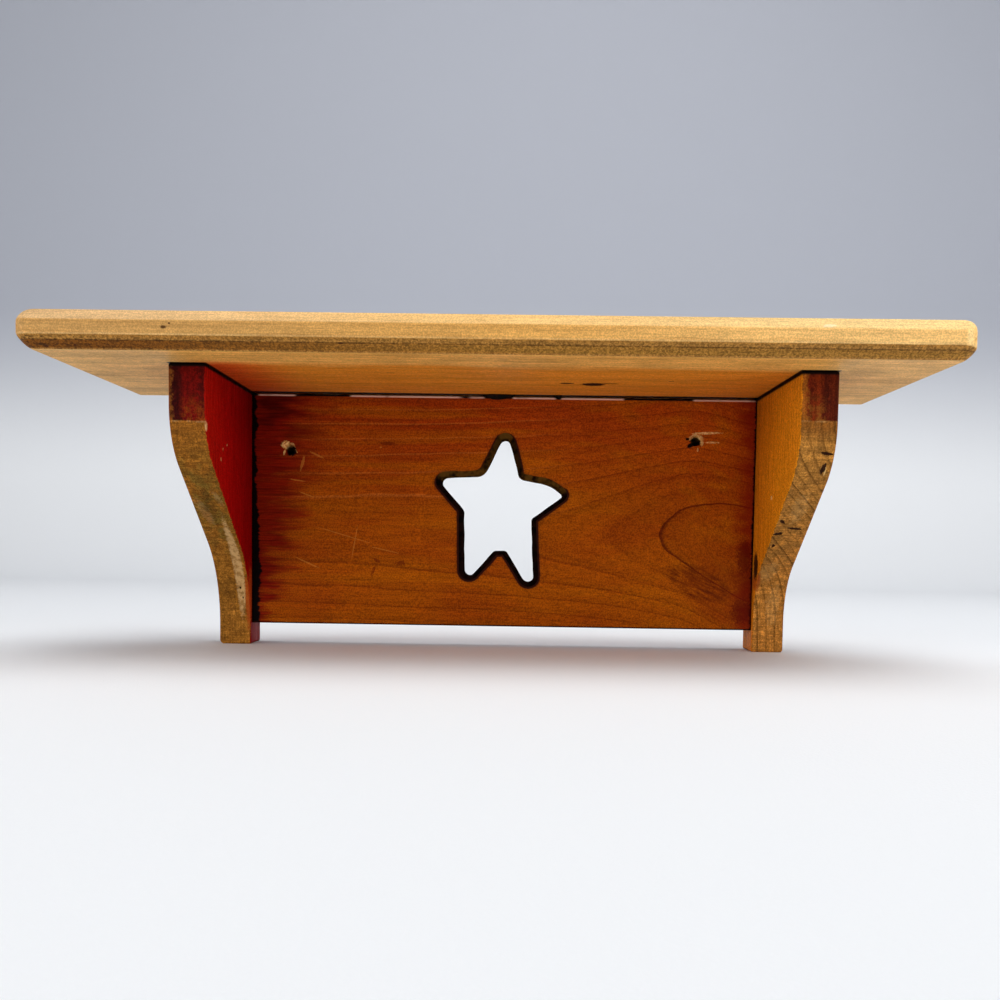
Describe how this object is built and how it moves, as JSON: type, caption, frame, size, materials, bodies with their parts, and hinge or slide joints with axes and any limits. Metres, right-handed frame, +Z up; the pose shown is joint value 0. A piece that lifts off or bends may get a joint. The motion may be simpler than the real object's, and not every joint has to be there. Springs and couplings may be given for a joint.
{
  "type": "wall shelf",
  "caption": "Country-style wall shelf: a bevelled pine board on S-curved brackets, with a stained back panel that has a star sawn through it and holes for wall screws.",
  "frame": {"origin": "on the wall plane, at the middle of the board's back edge between the brackets", "axes": "+X along the board to the viewer's right, +Y into the wall, +Z up"},
  "size_m": [0.4614, 0.1397, 0.172],
  "materials": {
    "natural_pine": "satin",
    "stained_pine": "satin",
    "nail_steel": "drawn wire",
    "wood_filler": "matte",
    "dried_glue": "hard"
  },
  "bodies": {
    "root": {"shelf_board": "natural_pine", "back_panel": "stained_pine", "left_bracket": "stained_pine", "right_bracket": "stained_pine", "glue_spots": "dried_glue", "left_shelf_nails": "nail_steel", "left_shelf_nail_filler": "wood_filler", "left_side_nails": "nail_steel", "left_side_nail_filler": "wood_filler", "right_shelf_nails": "nail_steel", "right_shelf_nail_filler": "wood_filler", "right_side_nails": "nail_steel", "right_side_nail_filler": "wood_filler"}
  },
  "joints": []
}
